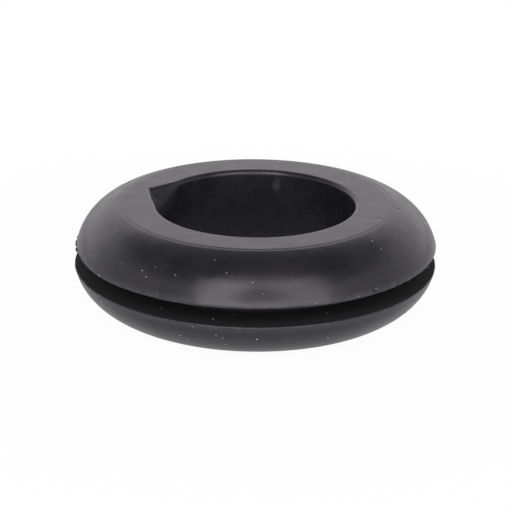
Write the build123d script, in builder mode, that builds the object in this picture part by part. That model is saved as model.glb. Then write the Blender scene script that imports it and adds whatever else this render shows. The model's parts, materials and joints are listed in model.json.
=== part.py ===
"""Open rubber grommet for a round panel hole, moulded in one piece.

Two equal round-shouldered flanges stand either side of a groove.  The panel's
edge sits in the groove, its hole round the neck, and a cable runs through the
bore.  The axis is Z and the origin is on it, in the middle of the groove, so
the panel's middle plane is z = 0.  Lengths are in millimetres.
"""

import os
from math import cos, radians, sin

from build123d import *

# Driving dimensions
outer_diameter = 32.0  # over the flanges, to the corners of their lips at the groove
panel_hole_diameter = 25.0  # the neck, at the bottom of the groove
bore_diameter = 17.5  # the cable hole
panel_thickness = 1.6  # width of the groove
flange_thickness = 3.7  # from a groove wall to the flat end face
shoulder_width = 4.0  # radial run from the flat end face to the lip

# The shoulder is part of an ellipse.  It leaves the lip leaning a little inwards
# and stops a little short of level, which leaves a faint crease round the flat
# end face.  Both are the ellipse's own angles, from its widest point up.
lip_angle = 12.0
crease_angle = 79.5

# Edge roundings
bore_edge_radius = 0.4
lip_edge_radius = 0.1
groove_root_radius = 0.25

# Worked out from them
outer_radius = outer_diameter / 2
neck_radius = panel_hole_diameter / 2
bore_radius = bore_diameter / 2
groove_half_width = panel_thickness / 2
half_height = groove_half_width + flange_thickness
end_face_radius = outer_radius - shoulder_width
shoulder_ellipse_across = shoulder_width / (
    cos(radians(lip_angle)) - cos(radians(crease_angle))
)
shoulder_ellipse_up = flange_thickness / (
    sin(radians(crease_angle)) - sin(radians(lip_angle))
)
shoulder_ellipse_centre = (
    outer_radius - shoulder_ellipse_across * cos(radians(lip_angle)),
    groove_half_width - shoulder_ellipse_up * sin(radians(lip_angle)),
)

with BuildPart() as grommet:
    with BuildSketch(Plane.XZ) as section:
        # Upper half: out along the middle of the neck to the bore, up the bore,
        # out along the end face, down the shoulder and back in along the groove
        with BuildLine():
            Polyline(
                (neck_radius, 0),
                (bore_radius, 0),
                (bore_radius, half_height),
                (end_face_radius, half_height),
            )
            EllipticalCenterArc(
                shoulder_ellipse_centre,
                shoulder_ellipse_across,
                shoulder_ellipse_up,
                start_angle=lip_angle,
                arc_size=crease_angle - lip_angle,
            )
            Polyline(
                (outer_radius, groove_half_width),
                (neck_radius, groove_half_width),
                (neck_radius, 0),
            )
        make_face()
        mirror(about=Plane.XZ)

        # Each edge is picked again after the last rounding has changed the outline
        fillet(section.vertices().group_by(Axis.X)[0], bore_edge_radius)
        fillet(section.vertices().group_by(Axis.X)[-1], lip_edge_radius)
        groove_roots = section.vertices().filter_by_position(
            Axis.X, neck_radius, neck_radius
        )
        fillet(groove_roots, groove_root_radius)
    revolve(axis=Axis.Z)

grommet.part.label = "grommet"

os.makedirs("parts", exist_ok=True)
export_step(grommet.part, "parts/grommet.step")
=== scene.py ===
"""Looks of the open rubber grommet: its moulded surface, the dust on it, and a plain studio."""

import json
import math

import bpy
from mathutils import Matrix, Vector


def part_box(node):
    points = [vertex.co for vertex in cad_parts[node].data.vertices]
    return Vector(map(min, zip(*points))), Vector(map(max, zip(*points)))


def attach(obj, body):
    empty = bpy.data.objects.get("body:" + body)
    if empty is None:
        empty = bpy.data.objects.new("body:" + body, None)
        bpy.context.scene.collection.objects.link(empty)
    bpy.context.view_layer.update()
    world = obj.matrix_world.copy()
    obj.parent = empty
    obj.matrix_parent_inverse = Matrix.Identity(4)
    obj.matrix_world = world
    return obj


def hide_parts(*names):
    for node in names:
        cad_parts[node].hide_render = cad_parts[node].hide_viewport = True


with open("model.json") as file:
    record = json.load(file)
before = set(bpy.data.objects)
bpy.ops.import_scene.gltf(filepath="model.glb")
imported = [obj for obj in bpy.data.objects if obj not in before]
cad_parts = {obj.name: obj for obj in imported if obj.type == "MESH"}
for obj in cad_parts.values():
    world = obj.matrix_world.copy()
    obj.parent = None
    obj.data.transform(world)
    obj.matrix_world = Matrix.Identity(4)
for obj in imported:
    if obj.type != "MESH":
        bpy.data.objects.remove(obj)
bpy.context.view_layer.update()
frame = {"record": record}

MM = 0.001

# Sizes that the frame holds
mounts = {mount["name"]: mount for mount in frame["record"]["mounts"]}
high_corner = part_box("grommet")[1]
OUTER_RADIUS = high_corner.x
HALF_HEIGHT = high_corner.z
BORE_RADIUS = mounts["cable_bore"]["dims"]["r_mm"] * MM
NECK_RADIUS = mounts["panel_groove"]["dims"]["r_mm"] * MM
GROOVE_HALF_WIDTH = mounts["panel_groove"]["dims"]["length_mm"] / 2 * MM

# Sizes of the mould's own outline. The shoulder is part of an ellipse, from lip to crease.
SHOULDER_WIDTH = 4.0 * MM
LIP_ANGLE = math.radians(12)
CREASE_ANGLE = math.radians(79.5)
BORE_EDGE_RADIUS = 0.4 * MM
LIP_EDGE_RADIUS = 0.1 * MM
GROOVE_ROOT_RADIUS = 0.25 * MM
WITNESS_WIDTH = 0.26 * MM  # shallow line left where the mould's end insert meets its cavity
WITNESS_DEPTH = 0.05 * MM

STEPS_ROUND = 440  # keeps the grommet to 176,000 triangles

# The torn nick in the upper bore edge. Azimuths and spreads are in degrees, from +X towards +Y.
# Its front side was torn clean and is steep, and its back side is a scoop. The larger a side's
# bend, the closer its edge keeps to the bore; the larger its slope, the later it falls away.
NICK_AZIMUTH = 160
NICK_REACH = 1.42 * MM  # from the bore's wall out to the corner
NICK_DEPTH = 1.1 * MM
NICK_TAIL = 4 * NICK_DEPTH  # the bore's wall is drawn down over this height
NICK_FRONT_SPREAD = 30
NICK_FRONT_BEND = 1.5
NICK_FRONT_SLOPE = 0.8
NICK_FRONT_RISE = 0.4  # share of the front's spread in which it gets its full depth
NICK_BACK_SPREAD = 26
NICK_BACK_BEND = 2.0
NICK_BACK_SLOPE = 1.4

# The upper flange leans in a little on one side, where it was pressed in storage
LEAN_AZIMUTH = 186
LEAN_SPREAD = 42
LEAN_DEPTH = 0.2 * MM

# Small pits and dents, as (azimuth, radius, height, reach, depth). The first is the deepest.
PITS = [
    (-51.2, 15.88 * MM, 1.25 * MM, 0.30 * MM, 0.30 * MM),
    (-56.5, 15.45 * MM, 2.2 * MM, 0.22 * MM, 0.05 * MM),
    (-42.0, 15.92 * MM, 1.0 * MM, 0.24 * MM, 0.10 * MM),
    (-38.5, 15.96 * MM, 0.9 * MM, 0.20 * MM, 0.08 * MM),
    (-118.0, 15.72 * MM, 1.6 * MM, 0.22 * MM, 0.05 * MM),
    (118.0, 15.60 * MM, 1.9 * MM, 0.24 * MM, 0.10 * MM),
    (41.0, 15.80 * MM, -1.4 * MM, 0.24 * MM, 0.10 * MM),
    (-5.8, 12.5 * MM, 4.4 * MM, 0.34 * MM, 0.05 * MM),
    (-21.4, 11.4 * MM, 4.5 * MM, 0.30 * MM, 0.04 * MM),
]


# ---------------------------------------------------------------- helpers


def to_linear(hex_colour):
    """sRGB hex, such as "#2b2b2d", as linear RGBA."""
    channels = [int(hex_colour[i : i + 2], 16) / 255 for i in (1, 3, 5)]
    linear = [c / 12.92 if c <= 0.04045 else ((c + 0.055) / 1.055) ** 2.4 for c in channels]
    return (*linear, 1.0)


def add_node(tree, kind, settings=None, **inputs):
    """Adds a node. settings are its properties; inputs are values, or the sockets to link from.
    An input is named in words joined by _, or by its number after a leading _."""
    node = tree.nodes.new(kind)
    for name, value in (settings or {}).items():
        setattr(node, name, value)
    for name, value in inputs.items():
        socket = node.inputs[int(name[1:]) if name[0] == "_" else name.replace("_", " ")]
        if isinstance(value, bpy.types.NodeSocket):
            tree.links.new(value, socket)
        else:
            socket.default_value = value
    return node


# ---------------------------------------------------------------- outline of the mould


def arc(centre, across, up, start, end, steps):
    """Points of an ellipse's arc in the section, from one angle to another, both ends in."""
    turns = [start + (end - start) * i / steps for i in range(steps + 1)]
    return [(centre[0] + across * math.cos(a), centre[1] + up * math.sin(a)) for a in turns]


def line(start, end, steps):
    """Points of a straight run in the section, both ends in."""
    return [tuple(s + (e - s) * i / steps for s, e in zip(start, end)) for i in range(steps + 1)]


def half_outline():
    """Upper half of the section as (radius, height): up the bore, over the flange, into the groove.
    The last number in each line and arc is its count of steps."""
    end_face_radius = OUTER_RADIUS - SHOULDER_WIDTH
    lip_top = GROOVE_HALF_WIDTH + LIP_EDGE_RADIUS
    across = SHOULDER_WIDTH / (math.cos(LIP_ANGLE) - math.cos(CREASE_ANGLE))
    up = (HALF_HEIGHT - lip_top) / (math.sin(CREASE_ANGLE) - math.sin(LIP_ANGLE))
    middle = (OUTER_RADIUS - across * math.cos(LIP_ANGLE), lip_top - up * math.sin(LIP_ANGLE))
    quarter = math.pi / 2
    bore_edge = (BORE_RADIUS + BORE_EDGE_RADIUS, HALF_HEIGHT - BORE_EDGE_RADIUS)
    points = line((BORE_RADIUS, 0), (BORE_RADIUS, bore_edge[1]), 14)
    points += arc(bore_edge, BORE_EDGE_RADIUS, BORE_EDGE_RADIUS, math.pi, quarter, 8)[1:]
    points += line(points[-1], (end_face_radius - WITNESS_WIDTH / 2, HALF_HEIGHT), 18)[1:]
    points += [(end_face_radius, HALF_HEIGHT - WITNESS_DEPTH)]
    shoulder = arc(middle, across, up, CREASE_ANGLE, LIP_ANGLE, 40)
    points += [p for p in shoulder if p[0] > end_face_radius + WITNESS_WIDTH / 2]
    lip = (OUTER_RADIUS - LIP_EDGE_RADIUS, lip_top)
    points += arc(lip, LIP_EDGE_RADIUS, LIP_EDGE_RADIUS, 0, -quarter, 5)[1:]
    root = (NECK_RADIUS + GROOVE_ROOT_RADIUS, GROOVE_HALF_WIDTH - GROOVE_ROOT_RADIUS)
    points += line(points[-1], (root[0], GROOVE_HALF_WIDTH), 8)[1:]
    points += arc(root, GROOVE_ROOT_RADIUS, GROOVE_ROOT_RADIUS, quarter, math.pi, 4)[1:]
    points += line(points[-1], (NECK_RADIUS, 0), 2)[1:]
    return points


def section_outline(centre_radius):
    """The whole closed section as a ring of edges, drawn about the radius that it's swung at."""
    upper = half_outline()
    ring = upper + [(r, -z) for r, z in upper[-2:0:-1]]
    mesh = bpy.data.meshes.new("section")
    edges = [(i, (i + 1) % len(ring)) for i in range(len(ring))]
    mesh.from_pydata([(r - centre_radius, z, 0) for r, z in ring], edges, [])
    section = bpy.data.objects.new("section", mesh)
    bpy.context.scene.collection.objects.link(section)
    return section


# ---------------------------------------------------------------- geometry trees

RAGGED_MIDDLE = 0.55  # the noise value at which a trimmed lip stays where it is

# Dust: least and most size of a speck or fibre as shares of its full size, and most turn in radians
DUST_LEAST = (0.4, 0.4, 0.35)
DUST_MOST = (1.5, 1.3, 0.8)
DUST_TURN = (0.2, 0.2, math.tau)
FIBRE_BEND = math.radians(70)
FIBRE_MIDDLE = (-0.8, -0.5, 0.0)  # moves the bent fibre onto its point, in fibre lengths


def new_tree(name, inputs):
    """A Geometry Nodes tree with named inputs, given as (name, socket type)."""
    tree = bpy.data.node_groups.new(name, "GeometryNodeTree")
    tree.interface.new_socket("Geometry", in_out="INPUT", socket_type="NodeSocketGeometry")
    for label, kind in inputs:
        tree.interface.new_socket(label, in_out="INPUT", socket_type=kind)
    tree.interface.new_socket("Geometry", in_out="OUTPUT", socket_type="NodeSocketGeometry")
    return tree


def run_tree(obj, tree, values, name):
    """Runs the tree on obj with the values given by input name, and returns a plain mesh object."""
    modifier = obj.modifiers.new(tree.name, "NODES")
    modifier.node_group = tree
    for item in tree.interface.items_tree:
        if item.in_out == "INPUT" and item.name in values:
            modifier[item.identifier] = values[item.name]
    depsgraph = bpy.context.evaluated_depsgraph_get()
    mesh = bpy.data.meshes.new_from_object(obj.evaluated_get(depsgraph), depsgraph=depsgraph)
    obj.modifiers.remove(modifier)
    made = bpy.data.objects.new(name, mesh)
    mesh.name = name
    bpy.context.scene.collection.objects.link(made)
    return made


def turned_moulding_tree():
    """Swings a section round Z, lets the soft moulding go a little out of true, and makes the
    trimmed lips ragged."""
    tree = new_tree(
        "turned moulding",
        [
            ("Centre Radius", "NodeSocketFloat"),
            ("Steps", "NodeSocketInt"),
            ("Waver", "NodeSocketFloat"),
            ("Waver Length", "NodeSocketFloat"),
            ("Lip Radius", "NodeSocketFloat"),
            ("Lip Height", "NodeSocketFloat"),
            ("Ragged", "NodeSocketFloat"),
            ("Ragged Length", "NodeSocketFloat"),
            ("Material", "NodeSocketMaterial"),
        ],
    )
    given = add_node(tree, "NodeGroupInput").outputs
    section = add_node(tree, "GeometryNodeMeshToCurve", Mesh=given["Geometry"])
    circle = add_node(
        tree,
        "GeometryNodeCurvePrimitiveCircle",
        {"mode": "RADIUS"},
        Resolution=given["Steps"],
        Radius=given["Centre Radius"],
    )
    ring = add_node(
        tree,
        "GeometryNodeCurveToMesh",
        Curve=circle.outputs["Curve"],
        Profile_Curve=section.outputs["Curve"],
    )
    place = add_node(tree, "GeometryNodeInputPosition")
    scale = add_node(
        tree, "ShaderNodeMath", {"operation": "DIVIDE"}, _0=1.0, _1=given["Waver Length"]
    )
    noise = add_node(
        tree,
        "ShaderNodeTexNoise",
        Vector=place.outputs["Position"],
        Scale=scale.outputs["Value"],
        Detail=1.0,
    )
    centred = add_node(
        tree, "ShaderNodeMath", {"operation": "SUBTRACT"}, _0=noise.outputs["Fac"], _1=0.5
    )
    waver = add_node(
        tree,
        "ShaderNodeMath",
        {"operation": "MULTIPLY"},
        _0=centred.outputs["Value"],
        _1=given["Waver"],
    )

    # The trimmed lips: short waves that fade out a ragged length away from the lip's corner
    parts = add_node(tree, "ShaderNodeSeparateXYZ", Vector=place.outputs["Position"])
    flat = add_node(tree, "ShaderNodeCombineXYZ", X=parts.outputs["X"], Y=parts.outputs["Y"])
    radius = add_node(
        tree, "ShaderNodeVectorMath", {"operation": "LENGTH"}, _0=flat.outputs["Vector"]
    )
    level = add_node(tree, "ShaderNodeMath", {"operation": "ABSOLUTE"}, _0=parts.outputs["Z"])
    corner = add_node(tree, "ShaderNodeCombineXYZ", X=given["Lip Radius"], Y=given["Lip Height"])
    here = add_node(
        tree, "ShaderNodeCombineXYZ", X=radius.outputs["Value"], Y=level.outputs["Value"]
    )
    away = add_node(
        tree,
        "ShaderNodeVectorMath",
        {"operation": "DISTANCE"},
        _0=here.outputs["Vector"],
        _1=corner.outputs["Vector"],
    )
    near = add_node(
        tree,
        "ShaderNodeMapRange",
        {"interpolation_type": "SMOOTHSTEP"},
        Value=away.outputs["Value"],
        From_Min=given["Ragged Length"],
        From_Max=0.0,
        To_Min=0.0,
        To_Max=given["Ragged"],
    )
    short = add_node(
        tree, "ShaderNodeMath", {"operation": "DIVIDE"}, _0=1.0, _1=given["Ragged Length"]
    )
    chatter = add_node(
        tree,
        "ShaderNodeTexNoise",
        Vector=place.outputs["Position"],
        Scale=short.outputs["Value"],
        Detail=2.0,
    )
    bite = add_node(
        tree, "ShaderNodeMath", {"operation": "SUBTRACT"}, _0=chatter.outputs["Fac"], _1=RAGGED_MIDDLE
    )
    out_of_true = add_node(
        tree,
        "ShaderNodeMath",
        {"operation": "MULTIPLY_ADD"},
        _0=bite.outputs["Value"],
        _1=near.outputs["Result"],
        _2=waver.outputs["Value"],
    )

    # The swung faces point inwards, so they're turned once the surface has been moved
    normal = add_node(tree, "GeometryNodeInputNormal")
    push = add_node(
        tree,
        "ShaderNodeVectorMath",
        {"operation": "SCALE"},
        _0=normal.outputs["Normal"],
        Scale=out_of_true.outputs["Value"],
    )
    moved = add_node(
        tree,
        "GeometryNodeSetPosition",
        Geometry=ring.outputs["Mesh"],
        Offset=push.outputs["Vector"],
    )
    outward = add_node(tree, "GeometryNodeFlipFaces", Mesh=moved.outputs["Geometry"])
    real = add_node(tree, "GeometryNodeRealizeInstances", Geometry=outward.outputs["Mesh"])
    smooth = add_node(tree, "GeometryNodeSetShadeSmooth", Geometry=real.outputs["Geometry"])
    finish = add_node(
        tree,
        "GeometryNodeSetMaterial",
        Geometry=smooth.outputs["Geometry"],
        Material=given["Material"],
    )
    add_node(tree, "NodeGroupOutput", Geometry=finish.outputs["Geometry"])
    return tree


def dust_tree():
    """Scatters specks and short fibres over a surface, away from the foot that it stands on."""
    tree = new_tree(
        "settled dust",
        [
            ("Density", "NodeSocketFloat"),
            ("Fibre Density", "NodeSocketFloat"),
            ("Speck Radius", "NodeSocketFloat"),
            ("Fibre Length", "NodeSocketFloat"),
            ("Fibre Radius", "NodeSocketFloat"),
            ("Lowest", "NodeSocketFloat"),
            ("Clean Radius", "NodeSocketFloat"),
            ("Seed", "NodeSocketInt"),
            ("Material", "NodeSocketMaterial"),
        ],
    )
    given = add_node(tree, "NodeGroupInput").outputs
    place = add_node(tree, "GeometryNodeInputPosition")
    parts = add_node(tree, "ShaderNodeSeparateXYZ", Vector=place.outputs["Position"])
    flat = add_node(tree, "ShaderNodeCombineXYZ", X=parts.outputs["X"], Y=parts.outputs["Y"])
    radius = add_node(
        tree, "ShaderNodeVectorMath", {"operation": "LENGTH"}, _0=flat.outputs["Vector"]
    )
    above = add_node(
        tree,
        "FunctionNodeCompare",
        {"data_type": "FLOAT", "operation": "GREATER_THAN"},
        A=parts.outputs["Z"],
        B=given["Lowest"],
    )
    outside = add_node(
        tree,
        "FunctionNodeCompare",
        {"data_type": "FLOAT", "operation": "GREATER_THAN"},
        A=radius.outputs["Value"],
        B=given["Clean Radius"],
    )
    settled = add_node(
        tree,
        "FunctionNodeBooleanMath",
        {"operation": "AND"},
        _0=above.outputs["Result"],
        _1=outside.outputs["Result"],
    )

    # One speck and one bent fibre
    speck = add_node(
        tree, "GeometryNodeMeshIcoSphere", Radius=given["Speck Radius"], Subdivisions=1
    )
    fibre_path = add_node(
        tree,
        "GeometryNodeCurveArc",
        {"mode": "RADIUS"},
        Resolution=7,
        Radius=given["Fibre Length"],
        Sweep_Angle=FIBRE_BEND,
    )
    fibre_round = add_node(
        tree,
        "GeometryNodeCurvePrimitiveCircle",
        {"mode": "RADIUS"},
        Resolution=5,
        Radius=given["Fibre Radius"],
    )
    fibre = add_node(
        tree,
        "GeometryNodeCurveToMesh",
        Curve=fibre_path.outputs["Curve"],
        Profile_Curve=fibre_round.outputs["Curve"],
        Fill_Caps=True,
    )
    middle = add_node(
        tree,
        "ShaderNodeVectorMath",
        {"operation": "SCALE"},
        _0=FIBRE_MIDDLE,
        Scale=given["Fibre Length"],
    )
    centred = add_node(
        tree,
        "GeometryNodeTransform",
        Geometry=fibre.outputs["Mesh"],
        Translation=middle.outputs["Vector"],
    )

    # Specks and fibres are scattered each with a seed of their own
    kinds = [
        ("Density", speck.outputs["Mesh"], 0.0),
        ("Fibre Density", centred.outputs["Geometry"], 1.0),
    ]
    scattered = []
    for density, shape, seed_step in kinds:
        seed = add_node(
            tree, "ShaderNodeMath", {"operation": "ADD"}, _0=given["Seed"], _1=seed_step
        )
        points = add_node(
            tree,
            "GeometryNodeDistributePointsOnFaces",
            Mesh=given["Geometry"],
            Selection=settled.outputs["Boolean"],
            Density=given[density],
            Seed=seed.outputs["Value"],
        )
        size = add_node(
            tree,
            "FunctionNodeRandomValue",
            {"data_type": "FLOAT_VECTOR"},
            Min=DUST_LEAST,
            Max=DUST_MOST,
            Seed=seed.outputs["Value"],
        )
        turn = add_node(
            tree,
            "FunctionNodeRandomValue",
            {"data_type": "FLOAT_VECTOR"},
            Min=(0, 0, 0),
            Max=DUST_TURN,
            Seed=seed.outputs["Value"],
        )
        placed = add_node(
            tree,
            "GeometryNodeInstanceOnPoints",
            Points=points.outputs["Points"],
            Instance=shape,
            Rotation=points.outputs["Rotation"],
            Scale=size.outputs["Value"],
        )
        turned = add_node(
            tree,
            "GeometryNodeRotateInstances",
            Instances=placed.outputs["Instances"],
            Rotation=turn.outputs["Value"],
        )
        scattered.append(turned.outputs["Instances"])
    joined = add_node(tree, "GeometryNodeJoinGeometry")
    for instances in scattered:
        tree.links.new(instances, joined.inputs["Geometry"])
    real = add_node(tree, "GeometryNodeRealizeInstances", Geometry=joined.outputs["Geometry"])
    finish = add_node(
        tree,
        "GeometryNodeSetMaterial",
        Geometry=real.outputs["Geometry"],
        Material=given["Material"],
    )
    add_node(tree, "NodeGroupOutput", Geometry=finish.outputs["Geometry"])
    return tree


# ---------------------------------------------------------------- marks made by handling


def ease(value, start, end):
    """0 at start and before it, 1 at end and past it, smooth between."""
    t = min(1.0, max(0.0, (value - start) / (end - start)))
    return t * t * (3 - 2 * t)


def turn_between(azimuth, middle):
    """Degrees from middle to azimuth, between -180 and 180."""
    return (azimuth - middle + 180) % 360 - 180


def at_azimuth(azimuth, radius, height):
    """The point at an azimuth in degrees, a radius and a height."""
    turn = math.radians(azimuth)
    return Vector((radius * math.cos(turn), radius * math.sin(turn), height))


def nick_drop(radius, azimuth, height):
    """How far a point sinks into the torn nick, a scoop with one sharp corner and a steep front."""
    turn = turn_between(azimuth, NICK_AZIMUTH)
    in_front = turn > 0
    share = 1 - abs(turn) / (NICK_FRONT_SPREAD if in_front else NICK_BACK_SPREAD)
    if share <= 0 or radius > NECK_RADIUS:
        return 0.0
    outer = BORE_RADIUS + NICK_REACH * share ** (NICK_FRONT_BEND if in_front else NICK_BACK_BEND)
    inward = min(1.0, max(0.0, (outer - radius) / (outer - BORE_RADIUS)))
    slope = inward ** (NICK_FRONT_SLOPE if in_front else NICK_BACK_SLOPE)
    depth = NICK_DEPTH * (ease(share, 0.0, NICK_FRONT_RISE) if in_front else share)
    return depth * slope * ease(height, HALF_HEIGHT - NICK_TAIL, HALF_HEIGHT)


def lean_in(radius, azimuth, height):
    """How far the upper flange's outside leans towards the axis."""
    turn = abs(turn_between(azimuth, LEAN_AZIMUTH))
    if turn > LEAN_SPREAD or height < GROOVE_HALF_WIDTH:
        return 0.0
    round_share = (1 + math.cos(math.pi * turn / LEAN_SPREAD)) / 2
    return LEAN_DEPTH * round_share * ease(radius, NECK_RADIUS, OUTER_RADIUS - SHOULDER_WIDTH / 3)


def mark_by_handling(mesh):
    """Tears the nick, leans the flange and presses the pits into the finished mesh."""
    pits = [
        (at_azimuth(azimuth, radius, height), reach, depth)
        for azimuth, radius, height, reach, depth in PITS
    ]
    normals = [vertex.normal.copy() for vertex in mesh.vertices]
    for vertex, normal in zip(mesh.vertices, normals):
        x, y, height = vertex.co
        radius = math.hypot(x, y)
        azimuth = math.degrees(math.atan2(y, x))
        moved = vertex.co.copy()
        moved.z -= nick_drop(radius, azimuth, height)
        moved.xy *= 1 - lean_in(radius, azimuth, height) / radius
        for middle, reach, depth in pits:
            away = (vertex.co - middle).length
            if away < reach:
                moved -= normal * depth * (1 - (away / reach) ** 2)
        vertex.co = moved
    mesh.update()


# ---------------------------------------------------------------- materials

# Colours and roughness of the rubber
BARE_BLACK = "#1b1b1c"
BLOOMED_BLACK = "#232226"
# Paler grey of the lips: rubbed, and a painted highlight along their edge
WORN_AND_HIGHLIT_LIP_GREY = "#404042"
SMUDGE_GREY = "#4a4a50"
# Painted shade: the darker black of the groove, the pit's bottom and the nick's torn face
PAINTED_SHADE_BLACK = "#101011"
BARE_ROUGHNESS = 0.22
BLOOMED_ROUGHNESS = 0.33
DULL_ROUGHNESS = 0.85
RUBBER_IOR = 1.52

# Real sizes of its patches, wear, painted highlight, painted shade and grain
BLOOM_PATCH = 4 * MM
BLOOM_FLECK = 0.8 * MM
FLECK_SHARE = 0.35
WORN_AND_HIGHLIT_LIP_WIDTH = 0.2 * MM
SMUDGE_MIDDLE = (1.95 * MM, 8.55 * MM, 3.2 * MM)
SMUDGE_HALF_SIZES = (0.45 * MM, 2 * MM, 0.9 * MM)
GROOVE_BLEND = 0.06 * MM
# The torn look inside the nick is dull and painted darker as shade; these give where it lies
TORN_AND_SHADED_SHARE = 0.7
TORN_REACH = 1.4 * MM
TORN_TOP = 0.05 * MM  # the torn look begins this far under the end face
TORN_FULL = 0.4 * MM  # and is at its full share this far under it
GRAIN_SIZE = 0.22 * MM  # drawn coarser than the real 0.05 mm, which is too fine to show
TURNING_PITCH = 0.25 * MM
HOLLOW_SIZE = 2.5 * MM
RING_WAVE_RATIO = math.tau / 20  # a wave texture's own scale for one ring in one unit

# Relief of the rubber, as (strength, height)
GRAIN_RELIEF = (0.4, 0.006 * MM)
TURNING_RELIEF = (0.25, 0.004 * MM)
HOLLOW_RELIEF = (0.5, 0.09 * MM)

DARKEST_DUST = "#77777a"
PALEST_DUST = "#dededc"
DUST_SHADE_SIZE = 1.5 * MM

PAPER_WHITE = "#f2f2f3"
STUDIO_WHITE = "#fdf9ff"


def new_material(name):
    """An empty material, its tree, and the socket that gives places on the object."""
    material = bpy.data.materials.new(name)
    material.use_nodes = True
    tree = material.node_tree
    tree.nodes.clear()
    return material, tree, add_node(tree, "ShaderNodeTexCoord").outputs["Object"]


def wax_bloom(tree, place):
    """Wax that has come out of the rubber in patches, and the finer flecks in it."""
    patches = add_node(
        tree, "ShaderNodeTexNoise", Vector=place, Scale=1 / BLOOM_PATCH, Detail=3.0, Roughness=0.55
    )
    flecks = add_node(tree, "ShaderNodeTexNoise", Vector=place, Scale=1 / BLOOM_FLECK, Detail=4.0)
    bloom = add_node(
        tree,
        "ShaderNodeMix",
        {"data_type": "FLOAT"},
        _0=FLECK_SHARE,
        _2=patches.outputs["Fac"],
        _3=flecks.outputs["Fac"],
    )
    return bloom.outputs[0], flecks.outputs["Fac"]


def bloomed_colour(tree, bloom):
    """Near black, and faintly cooler and paler where the wax has bloomed."""
    tone = add_node(
        tree,
        "ShaderNodeMapRange",
        {"interpolation_type": "SMOOTHSTEP"},
        Value=bloom,
        From_Min=0.35,
        From_Max=0.68,
    )
    body = add_node(
        tree,
        "ShaderNodeMix",
        {"data_type": "RGBA"},
        _0=tone.outputs["Result"],
        _6=to_linear(BARE_BLACK),
        _7=to_linear(BLOOMED_BLACK),
    )
    return body.outputs[2]


def worn_and_highlit_lips(tree, colour, radius, flecks):
    """Lips paler near the widest radius: rubbed there, and a painted highlight along the lip edge."""
    lip = add_node(
        tree,
        "ShaderNodeMapRange",
        {"interpolation_type": "SMOOTHSTEP"},
        Value=radius,
        From_Min=OUTER_RADIUS - WORN_AND_HIGHLIT_LIP_WIDTH,
        From_Max=OUTER_RADIUS,
    )
    rubbed_and_highlit = add_node(
        tree, "ShaderNodeMath", {"operation": "MULTIPLY"}, _0=lip.outputs["Result"], _1=flecks
    )
    lipped = add_node(
        tree,
        "ShaderNodeMix",
        {"data_type": "RGBA"},
        _0=rubbed_and_highlit.outputs["Value"],
        _6=colour,
        _7=to_linear(WORN_AND_HIGHLIT_LIP_GREY),
    )
    return lipped.outputs[2]


def bore_smudge(tree, colour, place, flecks):
    """A pale smudge on the far wall of the bore, a millimetre wide, drawn down from the rim."""
    offset = add_node(
        tree, "ShaderNodeVectorMath", {"operation": "SUBTRACT"}, _0=place, _1=SMUDGE_MIDDLE
    )
    scaled = add_node(
        tree,
        "ShaderNodeVectorMath",
        {"operation": "MULTIPLY"},
        _0=offset.outputs["Vector"],
        _1=tuple(1 / size for size in SMUDGE_HALF_SIZES),
    )
    away = add_node(
        tree, "ShaderNodeVectorMath", {"operation": "LENGTH"}, _0=scaled.outputs["Vector"]
    )
    smudge = add_node(
        tree,
        "ShaderNodeMapRange",
        {"interpolation_type": "SMOOTHSTEP"},
        Value=away.outputs["Value"],
        From_Min=1.1,
        From_Max=0.1,
    )
    dusty = add_node(
        tree, "ShaderNodeMath", {"operation": "MULTIPLY"}, _0=smudge.outputs["Result"], _1=flecks
    )
    smudged = add_node(
        tree,
        "ShaderNodeMix",
        {"data_type": "RGBA"},
        _0=dusty.outputs["Value"],
        _6=colour,
        _7=to_linear(SMUDGE_GREY),
    )
    return smudged.outputs[2]


def dull_shaded_groove_walls(tree, height, radius):
    """The groove, where the walls left the mould's split ring dull and hold no bloom, and where
    painted shade darkens them.
    """
    level = add_node(tree, "ShaderNodeMath", {"operation": "ABSOLUTE"}, _0=height)
    inside = add_node(
        tree,
        "ShaderNodeMapRange",
        {"interpolation_type": "SMOOTHSTEP"},
        Value=level.outputs["Value"],
        From_Min=GROOVE_HALF_WIDTH + GROOVE_BLEND,
        From_Max=GROOVE_HALF_WIDTH,
    )
    past_bore = add_node(
        tree,
        "ShaderNodeMath",
        {"operation": "GREATER_THAN"},
        _0=radius,
        _1=(BORE_RADIUS + NECK_RADIUS) / 2,
    )
    groove = add_node(
        tree,
        "ShaderNodeMath",
        {"operation": "MULTIPLY"},
        _0=inside.outputs["Result"],
        _1=past_bore.outputs["Value"],
    )
    return groove.outputs["Value"]


def shaded_pit_bottom(tree, place):
    """The bottom of the deepest pit: dull, and painted black as shade."""
    azimuth, radius, height, reach, _ = PITS[0]
    away = add_node(
        tree,
        "ShaderNodeVectorMath",
        {"operation": "DISTANCE"},
        _0=place,
        _1=at_azimuth(azimuth, radius, height),
    )
    bottom = add_node(
        tree,
        "ShaderNodeMapRange",
        Value=away.outputs["Value"],
        From_Min=reach,
        From_Max=reach / 2,
    )
    return bottom.outputs["Result"]


def shaded_torn_face(tree, place, height):
    """The torn rubber inside the nick, below the end face: dull, and painted darker as shade."""
    middle = at_azimuth(NICK_AZIMUTH, BORE_RADIUS + NICK_REACH / 3, HALF_HEIGHT - NICK_DEPTH / 2)
    away = add_node(tree, "ShaderNodeVectorMath", {"operation": "DISTANCE"}, _0=place, _1=middle)
    near = add_node(
        tree,
        "ShaderNodeMapRange",
        Value=away.outputs["Value"],
        From_Min=2 * TORN_REACH,
        From_Max=TORN_REACH,
        To_Max=TORN_AND_SHADED_SHARE,
    )
    below = add_node(
        tree,
        "ShaderNodeMapRange",
        Value=height,
        From_Min=HALF_HEIGHT - TORN_TOP,
        From_Max=HALF_HEIGHT - TORN_FULL,
    )
    torn = add_node(
        tree,
        "ShaderNodeMath",
        {"operation": "MULTIPLY"},
        _0=near.outputs["Result"],
        _1=below.outputs["Result"],
    )
    return torn.outputs["Value"]


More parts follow.
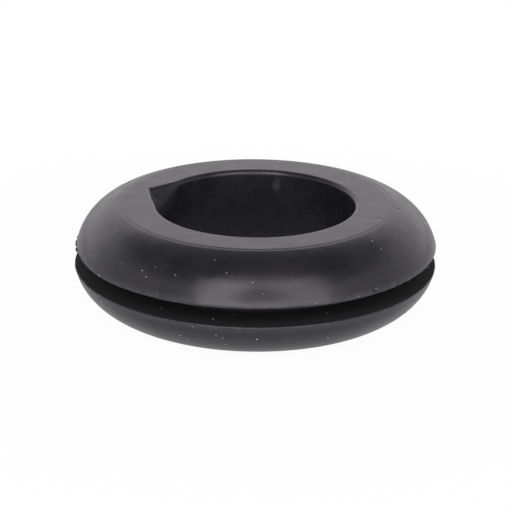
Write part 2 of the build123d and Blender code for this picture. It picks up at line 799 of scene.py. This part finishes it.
def mould_relief(tree, place):
    """Fine mould grain, turning marks from the mould, and soft hollows, laid over one another."""
    grain = add_node(tree, "ShaderNodeTexNoise", Vector=place, Scale=1 / GRAIN_SIZE, Detail=1.0)
    turning = add_node(
        tree,
        "ShaderNodeTexWave",
        {"wave_type": "RINGS", "rings_direction": "Z"},
        Vector=place,
        Scale=RING_WAVE_RATIO / TURNING_PITCH,
        Distortion=0.6,
        Detail=1.0,
    )
    hollows = add_node(tree, "ShaderNodeTexNoise", Vector=place, Scale=1 / HOLLOW_SIZE, Detail=1.0)
    layers = [(grain, GRAIN_RELIEF), (turning, TURNING_RELIEF), (hollows, HOLLOW_RELIEF)]
    below = {}
    for texture, (strength, height) in layers:
        relief = add_node(
            tree,
            "ShaderNodeBump",
            Strength=strength,
            Distance=height,
            Height=texture.outputs["Fac"],
            **below,
        )
        below = {"Normal": relief.outputs["Normal"]}
    return relief.outputs["Normal"]


def moulded_black_rubber():
    """Black nitrile rubber, compression moulded and handled: satin black, with a faint cool bloom
    in soft patches, fine mould grain, hair-thin turning marks from the mould, and paler lips, rubbed
    and with a painted highlight. Painted shade darkens the groove, the deepest pit's bottom and the
    nick."""
    material, tree, place = new_material("moulded black rubber")
    parts = add_node(tree, "ShaderNodeSeparateXYZ", Vector=place).outputs
    flat = add_node(tree, "ShaderNodeCombineXYZ", X=parts["X"], Y=parts["Y"])
    length = add_node(
        tree, "ShaderNodeVectorMath", {"operation": "LENGTH"}, _0=flat.outputs["Vector"]
    )
    radius = length.outputs["Value"]
    bloom, flecks = wax_bloom(tree, place)
    colour = bloomed_colour(tree, bloom)
    # The lips are paled as wear and as a painted highlight
    colour = worn_and_highlit_lips(tree, colour, radius, flecks)
    colour = bore_smudge(tree, colour, place, flecks)

    # Dull black, painted darker as shade: the groove's walls, the pit's bottom and the torn face of
    # the nick
    dull = dull_shaded_groove_walls(tree, parts["Z"], radius)
    for place_dulled_and_shaded in (shaded_pit_bottom(tree, place), shaded_torn_face(tree, place, parts["Z"])):
        either = add_node(
            tree, "ShaderNodeMath", {"operation": "MAXIMUM"}, _0=dull, _1=place_dulled_and_shaded
        )
        dull = either.outputs["Value"]
    # The dull places are painted a darker black as shade, and are rough as well
    shade_painted_colour = add_node(
        tree,
        "ShaderNodeMix",
        {"data_type": "RGBA"},
        _0=dull,
        _6=colour,
        _7=to_linear(PAINTED_SHADE_BLACK),
    )

    # Bloomed patches are a little duller than the bare rubber
    satin = add_node(
        tree,
        "ShaderNodeMapRange",
        Value=bloom,
        From_Min=0.3,
        From_Max=0.7,
        To_Min=BARE_ROUGHNESS,
        To_Max=BLOOMED_ROUGHNESS,
    )
    roughness = add_node(
        tree,
        "ShaderNodeMix",
        {"data_type": "FLOAT"},
        _0=dull,
        _2=satin.outputs["Result"],
        _3=DULL_ROUGHNESS,
    )
    shader = add_node(
        tree,
        "ShaderNodeBsdfPrincipled",
        Base_Color=shade_painted_colour.outputs[2],
        Roughness=roughness.outputs[0],
        IOR=RUBBER_IOR,
        Normal=mould_relief(tree, place),
    )
    add_node(tree, "ShaderNodeOutputMaterial", Surface=shader.outputs["BSDF"])
    return material


def settled_dust():
    """Workshop dust and lint: pale grey, dull, each speck a slightly different grey."""
    material, tree, place = new_material("settled grey dust")
    spread = add_node(tree, "ShaderNodeTexNoise", Vector=place, Scale=1 / DUST_SHADE_SIZE)
    colour = add_node(
        tree,
        "ShaderNodeMix",
        {"data_type": "RGBA"},
        _0=spread.outputs["Fac"],
        _6=to_linear(DARKEST_DUST),
        _7=to_linear(PALEST_DUST),
    )
    shader = add_node(
        tree, "ShaderNodeBsdfPrincipled", Base_Color=colour.outputs[2], Roughness=0.9, IOR=1.45
    )
    add_node(tree, "ShaderNodeOutputMaterial", Surface=shader.outputs["BSDF"])
    return material


def white_floor():
    """Matt white paper, smooth and without a visible grain. Near the grommet it keeps the shadow,
    and further off it goes over into the white backdrop. Reflections see it glow under the lower
    flange, which lights that flange's edge from below."""
    material, tree, place = new_material("white paper floor")
    away = add_node(tree, "ShaderNodeVectorMath", {"operation": "LENGTH"}, _0=place)
    # How the reflected glow rises under the flange and falls past it, and how white the camera
    # sees the paper, each as (near distance, far distance, near value, far value)
    ranges = [
        (BORE_RADIUS, NECK_RADIUS + MM, 0.0, 0.42),
        (OUTER_RADIUS - 2 * MM, OUTER_RADIUS + 4 * MM, 1.0, 0.3),
        (OUTER_RADIUS, 4 * OUTER_RADIUS, 0.96, 1.0),
    ]
    rising, falling, seen = (
        add_node(
            tree,
            "ShaderNodeMapRange",
            {"interpolation_type": "SMOOTHSTEP"},
            Value=away.outputs["Value"],
            From_Min=near,
            From_Max=far,
            To_Min=near_value,
            To_Max=far_value,
        ).outputs["Result"]
        for near, far, near_value, far_value in ranges
    )
    path = add_node(tree, "ShaderNodeLightPath").outputs
    under_flange = add_node(tree, "ShaderNodeMath", {"operation": "MULTIPLY"}, _0=rising, _1=falling)
    reflected = add_node(
        tree,
        "ShaderNodeMath",
        {"operation": "MULTIPLY"},
        _0=path["Is Glossy Ray"],
        _1=under_flange.outputs["Value"],
    )
    glowing = add_node(
        tree,
        "ShaderNodeMath",
        {"operation": "MULTIPLY_ADD"},
        _0=path["Is Camera Ray"],
        _1=seen,
        _2=reflected.outputs["Value"],
    )
    paper = add_node(tree, "ShaderNodeBsdfDiffuse", Color=to_linear(PAPER_WHITE))
    glow = add_node(tree, "ShaderNodeEmission", Color=(1, 1, 1, 1), Strength=1.0)
    mix = add_node(
        tree,
        "ShaderNodeMixShader",
        Fac=glowing.outputs["Value"],
        _1=paper.outputs["BSDF"],
        _2=glow.outputs["Emission"],
    )
    add_node(tree, "ShaderNodeOutputMaterial", Surface=mix.outputs["Shader"])
    return material


# ---------------------------------------------------------------- the grommet

rubber = moulded_black_rubber()
centre_radius = (BORE_RADIUS + OUTER_RADIUS) / 2
section = section_outline(centre_radius)
grommet = run_tree(
    section,
    turned_moulding_tree(),
    {
        "Centre Radius": centre_radius,
        "Steps": STEPS_ROUND,
        "Waver": 0.05 * MM,
        "Waver Length": 9 * MM,
        "Lip Radius": OUTER_RADIUS,
        "Lip Height": GROOVE_HALF_WIDTH,
        "Ragged": 0.13 * MM,
        "Ragged Length": 0.35 * MM,
        "Material": rubber,
    },
    "moulded_grommet",
)
bpy.data.objects.remove(section)
mark_by_handling(grommet.data)

dust = run_tree(
    grommet,
    dust_tree(),
    {
        "Density": 0.12 / MM**2,
        "Fibre Density": 0.012 / MM**2,
        "Speck Radius": 0.055 * MM,
        "Fibre Length": 0.4 * MM,
        "Fibre Radius": 0.018 * MM,
        "Lowest": -HALF_HEIGHT + 0.5 * MM,
        "Clean Radius": NECK_RADIUS + 0.5 * MM,
        "Seed": 7,
        "Material": settled_dust(),
    },
    "dust_specks",
)

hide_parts("grommet")
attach(grommet, "root")
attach(dust, "root")


# ---------------------------------------------------------------- studio

FLOOR_HALF_SIDE = 1.2
LAMP_DISTANCE = 0.45

floor_mesh = bpy.data.meshes.new("floor")
corners = [(-1, -1), (1, -1), (1, 1), (-1, 1)]
floor_mesh.from_pydata(
    [(x * FLOOR_HALF_SIDE, y * FLOOR_HALF_SIDE, -HALF_HEIGHT) for x, y in corners],
    [],
    [(0, 1, 2, 3)],
)
floor = bpy.data.objects.new("floor", floor_mesh)
floor.data.materials.append(white_floor())
bpy.context.scene.collection.objects.link(floor)


def softbox(name, azimuth, elevation, width, height, radiance):
    """A flat lamp facing the grommet. Azimuth 0 is the camera's side, 90 is +X; angles in degrees."""
    turn = math.radians(azimuth)
    rise = math.radians(elevation)
    lamp = bpy.data.lights.new(name, "AREA")
    lamp.shape = "RECTANGLE"
    lamp.size = width
    lamp.size_y = height
    lamp.energy = radiance * math.pi * width * height
    lamp.color = to_linear(STUDIO_WHITE)[:3]
    obj = bpy.data.objects.new(name, lamp)
    towards = Vector(
        (math.sin(turn) * math.cos(rise), -math.cos(turn) * math.cos(rise), math.sin(rise))
    )
    obj.location = towards * LAMP_DISTANCE
    obj.rotation_euler = (-obj.location).to_track_quat("-Z", "Y").to_euler()
    bpy.context.scene.collection.objects.link(obj)


# Two tall softboxes, one each side of the camera, with a weak one above it and a low one below
softbox("left softbox", -23, 30, 0.19, 0.46, 2.9)
softbox("right softbox", 33, 30, 0.22, 0.46, 1.95)
softbox("upper softbox", 4, 54, 0.30, 0.20, 1.15)
softbox("low softbox", 4, 9, 0.26, 0.12, 2.6)

# The surround is brightest behind, darker at the sides, and darkest overhead
world = bpy.data.worlds.new("studio surround")
bpy.context.scene.world = world
world.use_nodes = True
tree = world.node_tree
tree.nodes.clear()
direction = add_node(tree, "ShaderNodeTexCoord")
parts = add_node(tree, "ShaderNodeSeparateXYZ", Vector=direction.outputs["Generated"])
behind = add_node(
    tree,
    "ShaderNodeMapRange",
    {"interpolation_type": "SMOOTHSTEP"},
    Value=parts.outputs["Y"],
    From_Min=0.15,
    From_Max=0.8,
    To_Min=0.64,
    To_Max=1.08,
)
high = add_node(
    tree,
    "ShaderNodeMapRange",
    {"interpolation_type": "SMOOTHSTEP"},
    Value=parts.outputs["Z"],
    From_Min=0.48,
    From_Max=0.72,
    To_Min=1.0,
    To_Max=0.22,
)
fade = add_node(
    tree,
    "ShaderNodeMath",
    {"operation": "MULTIPLY"},
    _0=behind.outputs["Result"],
    _1=high.outputs["Result"],
)
surround = add_node(
    tree,
    "ShaderNodeBackground",
    Color=to_linear(STUDIO_WHITE),
    Strength=fade.outputs["Value"],
)

# The camera sees it plain white
backdrop = add_node(tree, "ShaderNodeBackground", Color=(1, 1, 1, 1), Strength=1.0)
path = add_node(tree, "ShaderNodeLightPath")
shown = add_node(
    tree,
    "ShaderNodeMixShader",
    Fac=path.outputs["Is Camera Ray"],
    _1=surround.outputs["Background"],
    _2=backdrop.outputs["Background"],
)
add_node(tree, "ShaderNodeOutputWorld", Surface=shown.outputs["Shader"])


# ---------------------------------------------------------------- camera

CAMERA_DISTANCE = 180.5 * MM
CAMERA_ELEVATION = math.radians(20.606)
CAMERA_ROLL = math.radians(0.4465)

camera_data = bpy.data.cameras.new("camera")
camera_data.sensor_width = 36
camera_data.lens = 142.85
camera_data.shift_x = 0.0017
camera_data.shift_y = -0.0123
camera_data.clip_start = 0.01
camera_data.clip_end = 10
swing = Matrix.Rotation(math.pi / 2 - CAMERA_ELEVATION, 4, "X")
camera = bpy.data.objects.new("camera", camera_data)
camera.matrix_world = (
    swing @ Matrix.Translation((0, 0, CAMERA_DISTANCE)) @ Matrix.Rotation(CAMERA_ROLL, 4, "Z")
)
bpy.context.scene.collection.objects.link(camera)
bpy.context.scene.camera = camera

bpy.context.scene.view_settings.view_transform = "Standard"
